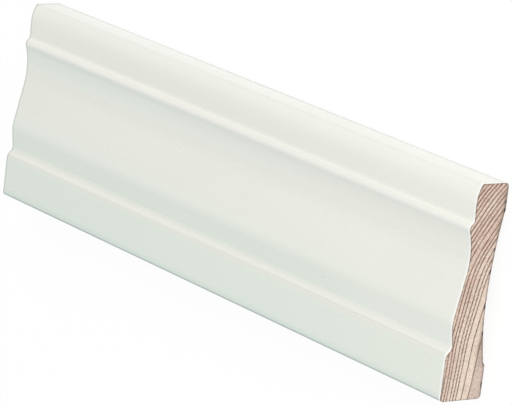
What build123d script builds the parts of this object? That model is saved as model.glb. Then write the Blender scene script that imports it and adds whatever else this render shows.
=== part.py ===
from build123d import *
from math import radians, sin, sqrt, tan
import os

# Architrave moulding: one length of softwood, machined to an ogee section with a hollowed back.
# It lies on its back with its moulded face up. X runs along the length, Y across the board from
# the thick edge (low) to the thin edge (high), and Z up from the plane of the two back lands.

# Stock, in millimetres
length = 250.0
width = 69.0
thickness = 16.0

# Round along the thin edge: its crest is measured in from that edge
round_width = 11.8
round_crest_inset = 6.0
round_rise = 0.36
round_fall = 1.7

# Bead, as the corner between the cove and the step down to the round
bead_step_width = 1.9
bead_step_slope = 45.0

# Ogee: the cove up to the bead, the straight flank, and the belly with its crest behind the front
cove_width = 9.8
cove_radius = 26.5
ogee_width = 20.8
flank_slope = 11.3
belly_width = 7.9
belly_radius = 11.0
belly_slope = 8.5
belly_setback = 1.05

# Step from the belly up to the plain fascia, which takes what is left of the width and rolls down
# a little towards the step
fascia_step_width = 1.75
fascia_roll_width = 1.3
fascia_roll_drop = 0.35

# Hollowed back, between the two lands that meet the wall
thin_land = 8.8
thin_shoulder_width = 1.0
thin_shoulder_height = 0.3
hollow_inset = 38.5
hollow_depth = 2.8
thick_shoulder_width = 1.3
thick_shoulder_height = 0.8
thick_land = 10.7

# Softened arrises, and the small coves at the foot of the two steps
thick_edge_arris = 1.3
fascia_roll_round = 4.0
fascia_arris = 0.7
fascia_step_cove = 2.2
bead_arris = 2.0
bead_step_cove = 1.5
round_arris = 0.8
thin_back_arris = 1.2
shoulder_arris = 0.5


def point(inset, height):
    """Point of the section, measured in from the thin edge and up from the plane of the lands."""
    return Vector(width / 2 - inset, height)


def sag(radius, run):
    """How far an arc that starts level leaves its tangent over a run."""
    return radius - sqrt(radius**2 - run**2)


# Each member of the face starts where the one before it ends
bead_inset = round_width + bead_step_width
cove_inset = bead_inset + cove_width
belly_inset = cove_inset + ogee_width
belly_notch_inset = belly_inset + belly_width
fascia_inset = belly_notch_inset + fascia_step_width

# Belly, and the slope that falls from it to the step
belly_height = thickness - belly_setback
belly_run = belly_radius * sin(radians(belly_slope))
belly_foot_height = belly_height - sag(belly_radius, belly_run)
belly_notch_height = belly_foot_height - (belly_width - belly_run) * tan(radians(belly_slope))
belly_foot = point(belly_inset + belly_run, belly_foot_height)
belly_notch = point(belly_notch_inset, belly_notch_height)

# Flank, which leaves the belly and meets the cove at its own slope
flank_top_run = belly_radius * sin(radians(flank_slope))
flank_foot_run = cove_radius * sin(radians(flank_slope))
flank_run = ogee_width - flank_top_run - flank_foot_run
flank_top_height = belly_height - sag(belly_radius, flank_top_run)
flank_foot_height = flank_top_height - flank_run * tan(radians(flank_slope))
flank_top = point(belly_inset - flank_top_run, flank_top_height)
flank_foot = point(cove_inset + flank_foot_run, flank_foot_height)

# Cove, bead and the notch behind the bead
cove_height = flank_foot_height - sag(cove_radius, flank_foot_run)
bead_height = cove_height + sag(cove_radius, cove_width)
round_notch_height = bead_height - bead_step_width * tan(radians(bead_step_slope))
bead = point(bead_inset, bead_height)
round_notch = point(round_width, round_notch_height)

# Round, level at its crest
round_height = round_notch_height + round_rise
round_crest = point(round_crest_inset, round_height)
round_edge = point(0, round_height - round_fall)

# Back, with the hollow level at its root
thin_shoulder = point(thin_land + thin_shoulder_width, thin_shoulder_height)
thick_shoulder = point(width - thick_land - thick_shoulder_width, thick_shoulder_height)
hollow_root = point(hollow_inset, hollow_depth)

# Corners of the stock that the moulding leaves
thin_back = point(0, 0)
thick_back = point(width, 0)
thick_front = point(width, thickness)
fascia_edge = point(fascia_inset + fascia_roll_width, thickness)
fascia_corner = point(fascia_inset, thickness - fascia_roll_drop)

arrises = [
    (thick_back, thick_edge_arris),
    (thick_front, thick_edge_arris),
    (fascia_edge, fascia_roll_round),
    (fascia_corner, fascia_arris),
    (belly_notch, fascia_step_cove),
    (bead, bead_arris),
    (round_notch, bead_step_cove),
    (round_edge, round_arris),
    (thin_back, thin_back_arris),
    (thin_shoulder, shoulder_arris),
    (thick_shoulder, shoulder_arris),
]

with BuildPart() as architrave:
    with BuildSketch(Plane.YZ) as section:
        with BuildLine():
            Polyline(thick_back, thick_front, fascia_edge, fascia_corner, belly_notch, belly_foot)
            ThreePointArc(belly_foot, point(belly_inset, belly_height), flank_top)
            Line(flank_top, flank_foot)
            ThreePointArc(flank_foot, point(cove_inset, cove_height), bead)
            Line(bead, round_notch)
            TangentArc(round_crest, round_notch, tangent=(-1, 0))
            TangentArc(round_crest, round_edge, tangent=(1, 0))
            Polyline(round_edge, thin_back, point(thin_land, 0), thin_shoulder)
            TangentArc(hollow_root, thin_shoulder, tangent=(1, 0))
            TangentArc(hollow_root, thick_shoulder, tangent=(-1, 0))
            Polyline(thick_shoulder, point(width - thick_land, 0), thick_back)
        make_face()
        for corner, radius in arrises:
            fillet(section.vertices().sort_by_distance(corner)[0], radius)
    extrude(amount=length / 2, both=True)

os.makedirs("parts", exist_ok=True)
export_step(architrave.part, "parts/architrave.step")
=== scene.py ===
from itertools import accumulate
from math import radians

import bmesh
import bpy
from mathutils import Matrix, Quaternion, Vector


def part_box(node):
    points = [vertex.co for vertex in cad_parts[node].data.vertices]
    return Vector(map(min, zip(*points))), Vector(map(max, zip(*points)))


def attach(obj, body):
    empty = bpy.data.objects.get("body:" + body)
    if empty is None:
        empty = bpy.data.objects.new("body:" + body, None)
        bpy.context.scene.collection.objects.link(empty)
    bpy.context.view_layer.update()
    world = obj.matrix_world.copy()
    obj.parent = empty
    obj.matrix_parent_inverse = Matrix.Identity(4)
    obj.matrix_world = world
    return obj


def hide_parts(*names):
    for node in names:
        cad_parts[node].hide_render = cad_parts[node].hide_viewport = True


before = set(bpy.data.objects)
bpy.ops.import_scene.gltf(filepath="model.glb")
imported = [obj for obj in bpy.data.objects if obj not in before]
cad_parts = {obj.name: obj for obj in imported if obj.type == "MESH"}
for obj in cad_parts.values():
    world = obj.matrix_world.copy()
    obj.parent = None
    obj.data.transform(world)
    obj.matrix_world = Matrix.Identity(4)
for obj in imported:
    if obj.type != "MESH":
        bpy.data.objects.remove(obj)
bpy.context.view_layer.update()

# A length of painted softwood architrave, lying on its back with its moulded face up. X runs along it
# to the fresh cut, Y across it from the thick edge to the thin edge, and Z up from its back.
# Lengths are in millimetres where no other unit is named, and MM turns them into Blender's metres.
# A place on the stick is given along it from its middle, across it from the thick edge, and up.
MM = 0.001
stick_low, stick_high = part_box("architrave")
stick_length = (stick_high.x - stick_low.x) / MM
stick_width = (stick_high.y - stick_low.y) / MM
stick_thickness = (stick_high.z - stick_low.z) / MM
half_length = stick_length / 2


# Camera

# Its place and the point that it looks at are in metres, and its roll is in degrees
camera_place = Vector((1.0409, 0.3096, 0.8021))
camera_aim = Vector((0.01087, -0.00168, 0.008))
camera_roll = -93.25
camera_lens = 287.28


def set_up_camera():
    """A long lens above the sawn end, rolled so that the thin edge is at the top of the picture."""
    camera = bpy.data.objects.new("camera", bpy.data.cameras.new("camera"))
    bpy.context.scene.collection.objects.link(camera)
    camera.data.lens = camera_lens
    camera.location = camera_place
    level = (camera_aim - camera_place).to_track_quat("-Z", "Y")
    camera.rotation_mode = "QUATERNION"
    camera.rotation_quaternion = level @ Quaternion((0, 0, 1), radians(camera_roll))
    bpy.context.scene.camera = camera


set_up_camera()
bpy.context.scene.view_settings.view_transform = "Standard"


# Shader maths

class Field:
    """A node's output. Arithmetic on it adds Math nodes."""

    def __init__(self, recipe, socket):
        self.recipe = recipe
        self.socket = socket

    def __add__(self, other):
        return self.recipe.maths("ADD", self, other)

    def __radd__(self, other):
        return self.recipe.maths("ADD", other, self)

    def __sub__(self, other):
        return self.recipe.maths("SUBTRACT", self, other)

    def __rsub__(self, other):
        return self.recipe.maths("SUBTRACT", other, self)

    def __mul__(self, other):
        return self.recipe.maths("MULTIPLY", self, other)

    def __rmul__(self, other):
        return self.recipe.maths("MULTIPLY", other, self)

    def __truediv__(self, other):
        return self.recipe.maths("DIVIDE", self, other)

    def __pow__(self, other):
        return self.recipe.maths("POWER", self, other)


class Recipe:
    """The nodes of one finish, of the floor or of the sky."""

    def __init__(self, tree):
        self.tree = tree
        tree.nodes.clear()

    def node(self, kind, settings=None, sockets=None, output=0):
        """Adds a node, sets it up, fills or links its sockets and gives back one of its outputs."""
        made = self.tree.nodes.new("ShaderNode" + kind)
        for name, setting in (settings or {}).items():
            setattr(made, name, setting)
        for name, value in (sockets or {}).items():
            if isinstance(value, Field):
                self.tree.links.new(value.socket, made.inputs[name])
            else:
                made.inputs[name].default_value = value
        return Field(self, made.outputs[output]) if made.outputs else None

    def maths(self, operation, first, second=0.0):
        return self.node("Math", {"operation": operation}, {0: first, 1: second})

    def smooth(self, value, low, high):
        """0 below low, 1 above high, and a soft step between them."""
        return self.node(
            "MapRange",
            {"interpolation_type": "SMOOTHSTEP"},
            {"Value": value, "From Min": low, "From Max": high},
        )

    def fade(self, value, low, high):
        """1 below low, 0 above high, and a soft step between them."""
        return 1 - self.smooth(value, low, high)

    def band(self, value, low, high, edge):
        """1 from low to high, with a soft edge outside each of them."""
        return self.smooth(value, low - edge, low) - self.smooth(value, high, high + edge)

    def wave(self, value):
        """A wave from 0 to 1, one for each turn of the value in radians."""
        return 0.5 + 0.5 * self.maths("SINE", value)

    def mix(self, share, first, second):
        """The first colour, or the second where share is 1."""
        # A Mix node takes two colours in its sockets 6 and 7, and gives the mixed one as its output 2
        return self.node("Mix", {"data_type": "RGBA"}, {0: share, 6: first, 7: second}, 2)

    def stretched(self, sizes):
        """Places on the stick, scaled so that a pattern's features have these sizes along X, Y and Z."""
        place = self.node("TexCoord", output="Object")
        scale = [1 / (size * MM) for size in sizes]
        return self.node("Mapping", sockets={"Vector": place, "Scale": scale})

    def noise(self, sizes, detail=2.0, roughness=0.5):
        """Soft noise from 0 to 1, with features of these sizes along X, Y and Z."""
        spots = self.stretched(sizes)
        return self.node(
            "TexNoise",
            sockets={"Vector": spots, "Scale": 1.0, "Detail": detail, "Roughness": roughness},
            output="Fac",
        )

    def place(self):
        """How far along, across from the thick edge, and up a point of the stick is, in millimetres."""
        spot = self.node("TexCoord", output="Object")
        along, across, up = (
            self.node("SeparateXYZ", sockets={"Vector": spot}, output=axis) / MM
            for axis in "XYZ"
        )
        return along, across + stick_width / 2, up

    def surface(self, shader, kind="OutputMaterial"):
        self.node(kind, sockets={"Surface": shader})

    def coat(self, colour, roughness, relief):
        """The surface of a finish, with its relief in millimetres."""
        normal = self.node("Bump", sockets={"Height": relief * MM, "Distance": 1.0})
        shader = self.node(
            "BsdfPrincipled",
            sockets={"Base Color": colour, "Roughness": roughness, "Normal": normal},
        )
        self.surface(shader)


def shade(red, green, blue):
    """A colour as it is read off a screen, from 0 to 255, as the linear colour that shaders take."""
    levels = (value / 255 for value in (red, green, blue))
    return [v / 12.92 if v <= 0.04045 else ((v + 0.055) / 1.055) ** 2.4 for v in levels] + [1.0]


def new_finish(name):
    finish = bpy.data.materials.new(name)
    finish.use_nodes = True
    return finish, Recipe(finish.node_tree)


# Paint

paint_white = shade(244, 244, 238)
# Greyer paint where the white is thin, darker along the thin edge's front, and painted shade in the lines
# behind the bead
paint_thin_and_shade = shade(228, 229, 222)
# Painted cool shade towards the thick edge
paint_cool_shade = shade(232, 240, 233)
# Painted shade in the cove, painted warm light on the step, painted cream highlights, and painted lilac
# light on the bead
paint_cove_shade = shade(232, 245, 239)
paint_warm_step_light = shade(233, 233, 227)
paint_cream_highlight = shade(248, 243, 238)
paint_lilac_light = shade(246, 242, 247)
paint_shaded = shade(208, 226, 222)
# Painted shade along the arrises and at the old cut
paint_arris_shade = shade(160, 168, 165)
# Painted highlight along the fresh cut
paint_highlight_white = shade(254, 254, 252)
# Painted light on the thin edge and on the belly's slope
paint_lit_white = shade(254, 254, 254)
# Specks of dust, and painted shade along the step's arris
paint_speck_and_shade = shade(206, 210, 203)

# Unevenness of the white: the sizes of its features along, across and up, how much they thin it, and how
# much less they do so in the cove and on the round
mottle_size = (60.0, 22.0, 22.0)
mottle_share = 0.35
grain_size = (45.0, 0.7, 0.7)
grain_share = 0.18
even_share = 0.6

# Sprayed surface: how high its ripple and the wood's grain stand, and how its roughness varies
ripple_size = (1.0, 1.0, 1.0)
ripple_height = 0.102
grain_height = 0.018
gloss_size = (14.0, 6.0, 6.0)
least_roughness = 0.34
roughness_spread = 0.1

# Where along the stick painted light and shade shift from the far end's to the near end's, and where the
# fresh cut comes near
far_to_near = (15.0 - half_length, half_length - 55.0)
near_fresh_cut = (half_length - 85.0, half_length - 25.0)

# Members of the moulded face: from where to where each runs across, and how soft its edges are
step = (14.1, 16.9, 0.7)
step_arris = (15.1, 15.3, 0.15)
step_top = (15.3, 15.6, 0.3)
belly_slope = (17.5, 22.5, 1.5)
cove = (48.0, 52.0, 3.0)
under_bead = (52.9, 53.8, 0.9)
bead_front = (54.5, 55.4, 0.4)
bead = (54.8, 56.8, 0.8)

# Painted light and shade on the members, and the share of each at the near end and at the far end
member_light_and_shade = (
    (cove, paint_cove_shade, 0.05, 0.33),
    (under_bead, paint_shaded, 0.07, 0.22),
    (step, paint_warm_step_light, 0.9, 0.9),
    (step_top, paint_cream_highlight, 0.0, 0.35),
    (step_arris, paint_speck_and_shade, 0.45, 0.0),
    (bead, paint_cream_highlight, 0.0, 0.4),
    (bead_front, paint_lilac_light, 0.25, 0.25),
)

# Painted light on the slope of the belly near the fresh cut
slope_light_share = 0.15

# Painted cool shade from the thick edge on: its share, what it loses near the fresh cut, and where across
# it fades
cool_share = 0.74
cool_loss = 0.22
cool_fade = (20.0, 33.0)

# Painted shade lines behind the bead: how far across they lie, how they fade to each side, and their share
bead_shade_lines = (56.15, 57.2)
bead_line_fade = (0.1, 0.4)
bead_line_share = 0.25

# Where across the round and the thin edge start
round_start = (57.0, 58.0)
thin_edge_start = (stick_width - 1.0, stick_width - 0.2)

# Thin edge: the share of painted light on it, how much more towards the far end, how far up that fades,
# and the share and the start of the darker paint along its front
edge_light_share = 0.13
edge_far_light_share = 0.32
edge_light_fade = (1.5, 6.5)
edge_darker_share = 0.2
edge_darker_start = (7.0, 9.5)

# Shade on the fascia beside the thick edge: how far across it reaches, how far up it starts, its share
shaded_reach = 3.5
shaded_start = (stick_thickness - 4.0, stick_thickness - 1.0)
shaded_share = 0.7

# Arrises with painted shade along them: how far across and up they lie, how wide the shade is and how
# strong
shaded_arrises = (
    (0.3, stick_thickness - 0.45, 0.9, 0.8),
    (stick_width - 0.15, 10.1, 0.5, 0.1),
    (stick_width - 0.05, 0.7, 1.8, 0.45),
)

# The painted shade on the arrises: how much of its width is solid, how strong it is at least, what the
# mottle adds to that, and what it loses near the fresh cut
arris_shade_core = 0.2
arris_shade_least = 0.6
arris_shade_mottle = 0.8
arris_shade_loss = 0.15

# Painted shade at the old cut and a painted highlight at the fresh one: how far they reach, how much of
# that is solid, and the share of the painted shade
old_cut_reach = 1.1
fresh_cut_reach = 1.3
cut_core = 0.5
old_cut_share = 0.4

# Specks of dust: how far apart they are, their radius, and how much of it is solid
nib_spacing = 26.0
nib_radius = 0.312
nib_core = 0.6


def face_tone(recipe, across, mottle, towards_far_end, by_fresh_cut):
    """Mottled off-white paint, with painted cool shade towards the thick edge and painted light and shade
    by member.
    """
    grain = recipe.noise(grain_size)
    even = recipe.band(across, *cove) + recipe.smooth(across, *round_start)
    thinned = (mottle_share * mottle + grain_share * grain) * (1 - even_share * even)
    tone = recipe.mix(thinned, paint_white, paint_thin_and_shade)
    cool = (cool_share - cool_loss * by_fresh_cut) * recipe.fade(across, *cool_fade)
    tone = recipe.mix(cool, tone, paint_cool_shade)
    for member, tint, near_share, far_share in member_light_and_shade:
        share = near_share + (far_share - near_share) * towards_far_end
        tone = recipe.mix(share * recipe.band(across, *member), tone, tint)
    painted_light = slope_light_share * by_fresh_cut * recipe.band(across, *belly_slope)
    tone = recipe.mix(painted_light, tone, paint_lit_white)
    for line in bead_shade_lines:
        beside = recipe.maths("ABSOLUTE", across - line)
        tone = recipe.mix(bead_line_share * recipe.fade(beside, *bead_line_fade), tone, paint_thin_and_shade)
    return tone


def edge_tone(recipe, tone, across, up, towards_far_end, on_thin_edge):
    """Painted light on the thin edge, darker paint along its front, and painted shade beside the thick
    edge.
    """
    painted_light = edge_light_share + edge_far_light_share * towards_far_end * recipe.fade(up, *edge_light_fade)
    tone = recipe.mix(painted_light * on_thin_edge, tone, paint_lit_white)
    front_darker = edge_darker_share * recipe.smooth(up, *edge_darker_start)
    tone = recipe.mix(front_darker * on_thin_edge, tone, paint_thin_and_shade)
    shaded = recipe.fade(across, 0.0, shaded_reach) * recipe.smooth(up, *shaded_start)
    return recipe.mix(shaded_share * shaded, tone, paint_shaded)


def arris_shade_tone(recipe, tone, across, up, mottle, by_fresh_cut):
    """Painted shade along the arrises, uneven with the mottle, and a little less near the fresh cut."""
    shade_strength = (arris_shade_least + arris_shade_mottle * mottle) * (1 - arris_shade_loss * by_fresh_cut)
    for arris_across, arris_up, reach, strength in shaded_arrises:
        distance = recipe.maths("SQRT", (across - arris_across) ** 2 + (up - arris_up) ** 2)
        arris_shading = strength * shade_strength * recipe.fade(distance, arris_shade_core * reach, reach)
        tone = recipe.mix(arris_shading, tone, paint_arris_shade)
    return tone


def cut_tone(recipe, tone, along, on_thin_edge):
    """Painted shade at the old cut, twice as wide on the thin edge, and a painted highlight at the fresh
    one.
    """
    from_old_cut = (along + half_length) / (1 + on_thin_edge)
    old_cut = recipe.fade(from_old_cut, cut_core * old_cut_reach, old_cut_reach)
    tone = recipe.mix(old_cut_share * old_cut, tone, paint_arris_shade)
    fresh_cut = recipe.fade(half_length - along, cut_core * fresh_cut_reach, fresh_cut_reach)
    return recipe.mix(fresh_cut, tone, paint_highlight_white)


def nibs(recipe):
    """Rare specks of dust in the paint: 1 inside a speck."""
    spots = recipe.stretched((nib_spacing, nib_spacing, nib_spacing))
    distance = recipe.node("TexVoronoi", sockets={"Vector": spots, "Scale": 1.0}, output="Distance")
    return recipe.fade(distance * nib_spacing, nib_core * nib_radius, nib_radius)


def paint_colour(recipe):
    """The paint's tone over the whole stick, with its painted light and shade, its two cuts and its
    specks.
    """
    along, across, up = recipe.place()
    mottle = recipe.noise(mottle_size, detail=3.0)
    towards_far_end = recipe.fade(along, *far_to_near)
    by_fresh_cut = recipe.smooth(along, *near_fresh_cut)
    on_thin_edge = recipe.smooth(across, *thin_edge_start)
    tone = face_tone(recipe, across, mottle, towards_far_end, by_fresh_cut)
    tone = edge_tone(recipe, tone, across, up, towards_far_end, on_thin_edge)
    tone = arris_shade_tone(recipe, tone, across, up, mottle, by_fresh_cut)
    tone = cut_tone(recipe, tone, along, on_thin_edge)
    return recipe.mix(nibs(recipe), tone, paint_speck_and_shade)


def white_paint():
    """Satin white paint with a sprayed ripple, and the wood's grain just showing through."""
    finish, recipe = new_finish("white_satin_paint")
    roughness = least_roughness + roughness_spread * recipe.noise(gloss_size)
    ripple = recipe.noise(ripple_size, detail=1.0)
    relief = ripple_height * ripple + grain_height * recipe.noise(grain_size)
    recipe.coat(paint_colour(recipe), roughness, relief)
    return finish


# Softwood

early_cream = shade(254, 236, 221)
early_pink = shade(231, 203, 190)
heart_pink = shade(232, 214, 203)
late_brown = shade(100, 82, 62)
late_red = shade(122, 74, 66)
pore_brown = shade(170, 142, 127)
heart_brown = shade(98, 74, 70)
# Grey of the stains and of the painted shade above the back
stain_and_shade_brown = shade(146, 132, 116)
# Brown of the rim's outline and of the painted shade along the back
outline_and_shade_brown = shade(112, 94, 84)
mark_brown = shade(52, 42, 38)
fibre_brown = shade(186, 158, 136)

# Lines of late wood, by their depth in the rings: the first one on the bark side, and the width of each
# ring from there to the heart
ring_first = -12.16
ring_widths = (
    1.0, 1.0, 1.0, 1.0, 1.0, 1.2, 1.1, 0.95, 1.2,
    1.2, 1.65, 1.15, 1.0, 1.4, 1.15, 1.1, 2.1, 2.7,
)
ring_lines = tuple(accumulate(ring_widths, initial=ring_first))

# Across a line, towards the heart, the late wood darkens over the rise, stays dark and then fades
late_rise = 0.12
late_solid = 0.18
late_fade = 0.3

# Course of the rings over the sawn end: how fast they go deeper towards the thin edge, how much faster
# with each millimetre of depth, how strongly they curve, and waves by height, start and length
ring_tilt = 0.0318
ring_fan = 0.00612
ring_bend = 3.9e-5
ring_waves = ((0.225, 11.6, 4.09), (0.21, 28.3, 6.41))

# Course along the stick: how far the rings rise with each millimetre from the fresh cut, and how far
# they wander
ring_drift = 0.004
ring_wander = 0.3
wander_size = (90.0, 7.0, 7.0)

# Patterns that follow the rings: how long they are along the stick, how rough they are, and the length of
# each one's features along a ring and their depth across it
streak_length = 40.0
streak_roughness = 0.6
strength_size = (5.0, 0.9)
dash_size = (0.8, 0.5)
redness_size = (4.0, 0.8)

# Patterns in the wood: the sizes of their features along, across and up
blotch_size = (30.0, 4.0, 4.0)
pore_size = (0.8, 0.65, 0.65)
tear_size = (2.0, 1.3, 1.3)
fibre_size = (18.0, 0.35, 0.35)
spray_size = (9.0, 2.5, 2.5)

# Levels of a pattern from which and up to which its effect grows
strength_levels = (0.2, 0.75)
dash_levels = (0.3, 0.6)
redness_levels = (0.4, 0.6)
pore_levels = (0.42, 0.68)
tear_levels = (0.3, 0.6)
fibre_levels = (0.35, 0.8)

# How dark the late wood is at least, and what its strength and its dashes add, on the ends and on the back
end_late_least = 0.5
end_late_strength = 0.3
end_late_dashes = 0.3
back_late_least = 0.4
back_late_strength = 0.45

# Early wood is pinker on the bark side, up to a depth in the rings, on the thin side and in blotches
bark_fade = (0.7, 5.2)
bark_pink = 0.44
thin_side_start = 40.0
thin_side_pink = 0.1
blotch_middle = 0.42
blotch_pink = 1.6

# The heart: the depth in the rings where it starts, and how softly
heart_side = 10.63
heart_edge = 0.5

# A brown line where the heart starts: its depths in the rings, where across it starts, how far up it
# fades, and its share
heart_line = (heart_side - 0.4, heart_side + 0.3, 0.25)
heart_line_start = (12.0, 18.0)
heart_line_fade = (3.5, 6.0)
heart_line_share = 0.34

# A stain in the heart: its depths in the rings, where it runs across, and its share
heart_stain = (heart_side - 0.3, heart_side + 2.0, 0.5)
heart_stain_run = (11.5, 17.0, 3.0)
heart_stain_share = 0.16

# Pores and saw marks: how brown they are, how much of that is the saw's, and what they lose in the clear
# wood, by the depths in the rings where that starts and ends
pore_share = 0.6
saw_share = 0.2
clear_loss = 0.2
clear_start = (5.0, 7.5)
clear_end = (heart_side - 0.3, heart_side)

# Saw and planer marks, in radians for each millimetre, and how much the saw leans across
saw_turn = 6.5
saw_lean = 0.8
planer_turn = 3.4

# Relief and roughness of the sawn ends, where the late wood is lower and smoother
pore_height = 0.03
saw_height = 0.018
end_late_drop = 0.024
end_roughness = 0.82
end_late_polish = 0.12

# Relief and roughness of the back, where the late wood is lower and the paint smoother
fibre_height = 0.02
planer_height = 0.006
back_late_drop = 0.01
back_roughness = 0.7
back_paint_polish = 0.3

# How brown the back's fibres are
fibre_share = 0.3

# Paint carried over the edges of the back: how far in it fades, and how ragged that is
carried_fade = (0.9, 2.6)
carried_stray = 3.0

# The hollow of the back: how far across and how deep its root is, and how far it runs to each side
hollow_root = 30.5
hollow_depth = 2.8
hollow_to_thin = 30.4
hollow_to_thick = 21.9

# Brown lines at the rim of a sawn end and along its back, the second partly painted shade: their least
# share, what tearing adds, and how far above the back the second one fades
rim_least = 0.35
rim_torn = 0.55
back_line_least = 0.2
back_line_torn = 0.3
back_line_fade = (0.4, 1.0)

# Grey stains and painted shade above the back: from where to where they run across and how strong they
# are, how soft their ends are, and how far up they fade
back_stains_and_shade = ((55.0, 65.0, 0.6), (18.5, 23.5, 0.3))
stain_edge = 4.0
stain_fade = (0.2, 2.4)

# Dark marks along the back at the fresh cut: how far across they lie and how far they reach, how much of
# that is solid, and their share
back_marks = ((4.6, 1.2), (21.2, 0.8), (29.8, 0.9), (41.0, 0.8), (48.0, 0.7), (60.4, 1.0), (63.0, 0.8))
mark_core = 0.4
mark_share = 0.85


def ring_field(recipe):
    """Depth into the tree's rings, in millimetres, at a place in the stick."""
    along, across, up = recipe.place()
    depth = stick_thickness - up
    rings = depth - (ring_tilt + ring_fan * depth) * across - ring_bend * across ** 3
    for height, start, length in ring_waves:
        rings = rings + height * recipe.maths("SINE", (across - start) / length)
    drift = ring_drift * (half_length - along)
    return rings + drift + ring_wander * (recipe.noise(wander_size) - 0.5)


def ring_noise(recipe, rings, size, detail=1.0):
    """Noise that follows the rings, with features of this length along a ring and depth across it."""
    along, across, _ = recipe.place()
    length, depth = size
    spots = recipe.node(
        "CombineXYZ",
        sockets={"X": along / streak_length, "Y": across / length, "Z": rings / depth},
    )
    return recipe.node(
        "TexNoise",
        sockets={"Vector": spots, "Scale": 1.0, "Detail": detail, "Roughness": streak_roughness},
        output="Fac",
    )


def late_wood(recipe, rings):
    """Dark lines of late wood: sharp towards the bark, and fading towards the heart."""
    dark = 0.0
    for line in ring_lines:
        rise = recipe.smooth(rings, line - late_rise, line)
        fall = recipe.smooth(rings, line + late_solid, line + late_solid + late_fade)
        dark = dark + rise - fall
    return dark


def line_strength(recipe, rings):
    """How strong the lines of late wood are, from 0 to 1, changing slowly along each of them."""
    return recipe.smooth(ring_noise(recipe, rings, strength_size), *strength_levels)


def wood_colour(recipe, rings, late):
    """Cream to pink early wood, greyer in the heart, crossed by the late wood's brown lines."""
    _, across, _ = recipe.place()
    bark_side = recipe.fade(rings, *bark_fade)
    thin_side = recipe.smooth(across, thin_side_start, stick_width)
    blotch = recipe.noise(blotch_size, detail=3.0) - blotch_middle
    pinkness = bark_pink * bark_side + thin_side_pink * thin_side + blotch_pink * blotch
    early = recipe.mix(recipe.smooth(pinkness, 0.0, 1.0), early_cream, early_pink)
    in_heart = recipe.smooth(rings, heart_side, heart_side + heart_edge)
    early = recipe.mix(in_heart, early, heart_pink)
    redness = recipe.smooth(ring_noise(recipe, rings, redness_size), *redness_levels)
    return recipe.mix(late, early, recipe.mix(redness, late_brown, late_red))


def stain_heart(recipe, colour, rings):
    """Browns the line where the heart starts, low in the end, and a part of the heart beside it."""
    _, across, up = recipe.place()
    low_line = recipe.smooth(across, *heart_line_start) * recipe.fade(up, *heart_line_fade)
    lined = recipe.band(rings, *heart_line) * low_line
    colour = recipe.mix(heart_line_share * lined, colour, heart_brown)
    stained = recipe.band(rings, *heart_stain) * recipe.band(across, *heart_stain_run)
    return recipe.mix(heart_stain_share * stained, colour, heart_brown)


def open_pores(recipe, colour, rings, pores, saw_marks):
    """Browns the pores and the saw marks, which show less in the clear wood before the heart."""
    clear = recipe.smooth(rings, *clear_start) - recipe.smooth(rings, *clear_end)
    pitted = recipe.smooth((1 - saw_share) * pores + saw_share * saw_marks, *pore_levels)
    return recipe.mix((pore_share - clear_loss * clear) * pitted, colour, pore_brown)


def height_above_back(recipe, across, up):
    """How far up a point is from the hollowed back."""
    to_thin = (across - hollow_root) / hollow_to_thin
    to_thick = (hollow_root - across) / hollow_to_thick
    run = recipe.maths("MAXIMUM", to_thin, to_thick)
    return up - recipe.maths("MAXIMUM", hollow_depth * (1 - run ** 2), 0.0)


def stain_rim(recipe, colour):
    """Browns the end's torn rim, stains and paints shade above the back, and adds dark marks at the fresh
    cut.
    """
    along, across, up = recipe.place()
    torn = recipe.smooth(recipe.noise(tear_size), *tear_levels)
    outline = recipe.node("Attribute", {"attribute_name": "outline"}, output="Fac")
    colour = recipe.mix(outline * (rim_least + rim_torn * torn), colour, outline_and_shade_brown)
    above_back = height_above_back(recipe, across, up)
    near_back = recipe.fade(above_back, *stain_fade)
    for stain_from, stain_to, share in back_stains_and_shade:
        stained = near_back * recipe.band(across, stain_from, stain_to, stain_edge)
        colour = recipe.mix(share * stained, colour, stain_and_shade_brown)
    at_back = recipe.fade(above_back, *back_line_fade)
    colour = recipe.mix(at_back * (back_line_least + back_line_torn * torn), colour, outline_and_shade_brown)
    at_fresh_cut = recipe.maths("GREATER_THAN", along, 0.0)
    for mark_across, reach in back_marks:
        beside = recipe.maths("ABSOLUTE", across - mark_across)
        marked = at_back * at_fresh_cut * recipe.fade(beside, mark_core * reach, reach)
        colour = recipe.mix(mark_share * marked, colour, mark_brown)
    return colour


def sawn_end():
    """End grain, cut across by a fine saw: rings, pores, faint saw marks and a brown line at the rim."""
    finish, recipe = new_finish("sawn_end_grain")
    _, across, up = recipe.place()
    rings = ring_field(recipe)
    dashes = recipe.smooth(ring_noise(recipe, rings, dash_size, detail=2.0), *dash_levels)
    darkness = end_late_least + end_late_strength * line_strength(recipe, rings) + end_late_dashes * dashes
    late = late_wood(recipe, rings) * darkness
    pores = recipe.noise(pore_size)
    saw_marks = recipe.wave((across * saw_lean + up) * saw_turn)
    colour = wood_colour(recipe, rings, late)
    colour = stain_heart(recipe, colour, rings)
    colour = open_pores(recipe, colour, rings, pores, saw_marks)
    colour = stain_rim(recipe, colour)
    relief = pore_height * pores + saw_height * saw_marks - end_late_drop * late
    recipe.coat(colour, end_roughness - end_late_polish * late, relief)
    return finish


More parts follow.
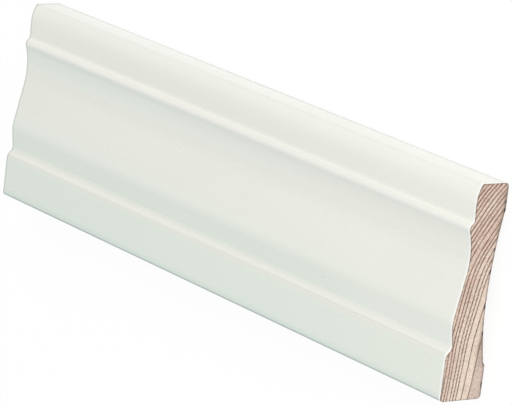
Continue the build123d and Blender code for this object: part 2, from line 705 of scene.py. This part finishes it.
def bare_back():
    """The planed back, left bare, with paint that ran or was sprayed over its two edges."""
    finish, recipe = new_finish("planed_bare_back")
    along, across, _ = recipe.place()
    rings = ring_field(recipe)
    darkness = back_late_least + back_late_strength * line_strength(recipe, rings)
    late = late_wood(recipe, rings) * darkness
    fibres = recipe.noise(fibre_size, detail=3.0)
    planer_marks = recipe.wave(along * planer_turn)
    colour = wood_colour(recipe, rings, late)
    colour = recipe.mix(fibre_share * recipe.smooth(fibres, *fibre_levels), colour, fibre_brown)
    spray = recipe.noise(spray_size, detail=4.0, roughness=0.65) - 0.5
    from_edge = recipe.maths("MINIMUM", across, stick_width - across)
    painted = recipe.fade(from_edge + carried_stray * spray, *carried_fade)
    colour = recipe.mix(painted, colour, paint_colour(recipe))
    relief = fibre_height * fibres + planer_height * planer_marks - back_late_drop * late
    recipe.coat(colour, back_roughness - back_paint_polish * painted, relief)
    return finish


# The stick

# Corners this close are welded, and what lies this close to a sawn end is at it
weld_distance = 0.002
end_slack = 0.001

# Softened arris of the sawn ends, the row of edges beside it that keeps the sides' shading flat, and the
# width of the wood's outline
end_arris = 0.18
end_arris_segments = 2
support_inset = 1.5
outline_width = 0.35

# How dark the outline is where it meets the sides, and on the arris inside that
rim_outline = 1.0
arris_outline = 0.7

# Faces within this many degrees of one another are made one, and edges sharper than this stay crisp
flat_angle = 0.3
crisp_angle = 35.0

# How much large faces count in the shading, where 50 is neutral
large_face_weight = 100

# How much a face's normal points along the stick where it is sawn, and down where it is the back
sawn_lean = 0.3
back_lean = 0.55


def pick(piece, kind, test):
    """Selects the faces or edges of the piece being edited that pass the test, and nothing else."""
    bpy.ops.mesh.select_mode(type=kind)
    bpy.ops.mesh.select_all(action="DESELECT")
    mesh = bmesh.from_edit_mesh(piece.data)
    for part in mesh.faces if kind == "FACE" else mesh.edges:
        part.select_set(test(part))
    mesh.select_flush_mode()
    bmesh.update_edit_mesh(piece.data)


def is_at_an_end(part):
    """Whether an edge or face lies wholly in one of the two sawn ends."""
    middle = sum(corner.co.x for corner in part.verts) / len(part.verts)
    return abs(middle) > (half_length - end_slack) * MM


def is_sawn(face):
    """The flat of a sawn end and its arris, where the paint has broken away."""
    return abs(face.normal.x) > sawn_lean


def is_back(face):
    """The two lands of the back and the hollow between them."""
    return face.normal.z < -back_lean and not is_sawn(face)


def mark_outline(stick):
    """Marks how near to the rim each corner of the sawn ends is, because the wood's outline is dark."""
    mesh = bmesh.new()
    mesh.from_mesh(stick.data)
    outline = mesh.verts.layers.float.new("outline")
    for corner in mesh.verts:
        if not all(is_sawn(face) for face in corner.link_faces):
            corner[outline] = rim_outline
        elif not all(is_at_an_end(face) for face in corner.link_faces):
            corner[outline] = arris_outline
    mesh.to_mesh(stick.data)
    mesh.free()


def model_stick():
    """The moulded stick as one closed mesh, with soft arrises at its sawn ends."""
    stick = bpy.data.objects.new("painted_architrave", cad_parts["architrave"].data.copy())
    bpy.context.scene.collection.objects.link(stick)
    stick.data.materials.clear()
    bpy.ops.object.select_all(action="DESELECT")
    stick.select_set(True)
    bpy.context.view_layer.objects.active = stick
    bpy.ops.mesh.customdata_custom_splitnormals_clear()
    bpy.ops.object.mode_set(mode="EDIT")
    bpy.ops.mesh.select_all(action="SELECT")
    bpy.ops.mesh.remove_doubles(threshold=weld_distance * MM)
    bpy.ops.mesh.dissolve_limited(angle_limit=radians(flat_angle))
    pick(stick, "EDGE", is_at_an_end)
    bpy.ops.mesh.bevel(offset=end_arris * MM, segments=end_arris_segments, affect="EDGES")
    for side in (-1, 1):
        bpy.ops.mesh.select_all(action="SELECT")
        inset = side * (half_length - support_inset) * MM
        bpy.ops.mesh.bisect(plane_co=(inset, 0, 0), plane_no=(1, 0, 0))
    pick(stick, "FACE", is_at_an_end)
    bpy.ops.mesh.inset(thickness=outline_width * MM)
    for finish, test in ((white_paint(), None), (sawn_end(), is_sawn), (bare_back(), is_back)):
        stick.data.materials.append(finish)
        if test:
            pick(stick, "FACE", test)
            stick.active_material_index = len(stick.data.materials) - 1
            bpy.ops.object.material_slot_assign()
    bpy.ops.object.mode_set(mode="OBJECT")
    bpy.ops.object.shade_smooth_by_angle(angle=radians(crisp_angle))
    weighted = stick.modifiers.new("weighted_normals", "WEIGHTED_NORMAL")
    weighted.weight = large_face_weight
    weighted.keep_sharp = True
    bpy.ops.object.modifier_apply(modifier=weighted.name)
    mark_outline(stick)
    return stick


stick = model_stick()
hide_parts("architrave")
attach(stick, "root")


# Floor, sky and lamps

# The floor's size is in metres, and its gap below the stick in millimetres
floor_size = 6.0
floor_gap = 0.1
floor_grey = (0.92, 0.92, 0.92, 1.0)
floor_white = 1.03
shadow_share = 0.12
sky_colour = (0.945, 1.0, 0.98, 1.0)
sky_light = 0.64
sky_white = (1.0, 1.0, 1.0, 1.0)

# Each lamp's direction from the stick, distance, size, power and colour, in metres and watts
edge_lamp = (Vector((0.15, 0.7, 0.5)), 1.2, 0.9, 5.5, (1.0, 0.93, 0.905))
end_lamp = (Vector((1.0, 0.0, 0.6)), 0.6, 0.4, 0.53, (1.0, 0.87, 0.83))


def seen_straight(recipe):
    """1 for the camera, and for what gloss or glass shows of the surroundings."""
    seen = 0.0
    for ray in ("Is Camera Ray", "Is Glossy Ray", "Is Transmission Ray"):
        seen = recipe.maths("MAXIMUM", recipe.node("LightPath", output=ray), seen)
    return seen


def lay_floor():
    """A white floor that keeps a faint shadow."""
    bpy.ops.object.select_all(action="DESELECT")
    bpy.ops.mesh.primitive_plane_add(size=floor_size, location=(0, 0, -floor_gap * MM))
    floor = bpy.context.object
    floor.name = "floor"
    finish, recipe = new_finish("white_floor")
    plain = recipe.node("BsdfDiffuse", sockets={"Color": floor_grey})
    white = recipe.node("Emission", sockets={"Strength": floor_white})
    share = seen_straight(recipe) * (1 - shadow_share)
    recipe.surface(recipe.node("MixShader", sockets={0: share, 1: plain, 2: white}))
    floor.data.materials.append(finish)


def hang_sky():
    """Even light from all round, which the camera sees as plain white."""
    world = bpy.data.worlds.new("sky")
    bpy.context.scene.world = world
    world.use_nodes = True
    recipe = Recipe(world.node_tree)
    light = recipe.node("Background", sockets={"Color": sky_colour, "Strength": sky_light})
    white = recipe.node("Background", sockets={"Color": sky_white})
    sky = recipe.node("MixShader", sockets={0: seen_straight(recipe), 1: light, 2: white})
    recipe.surface(sky, "OutputWorld")


def hang_lamp(name, towards, distance, size, power, colour):
    """A soft square lamp, facing the stick from this side."""
    lamp = bpy.data.objects.new(name, bpy.data.lights.new(name, "AREA"))
    bpy.context.scene.collection.objects.link(lamp)
    lamp.data.size = size
    lamp.data.energy = power
    lamp.data.color = colour
    lamp.location = towards.normalized() * distance
    lamp.rotation_euler = towards.to_track_quat("Z", "Y").to_euler()


lay_floor()
hang_sky()
hang_lamp("edge_lamp", *edge_lamp)
hang_lamp("end_lamp", *end_lamp)
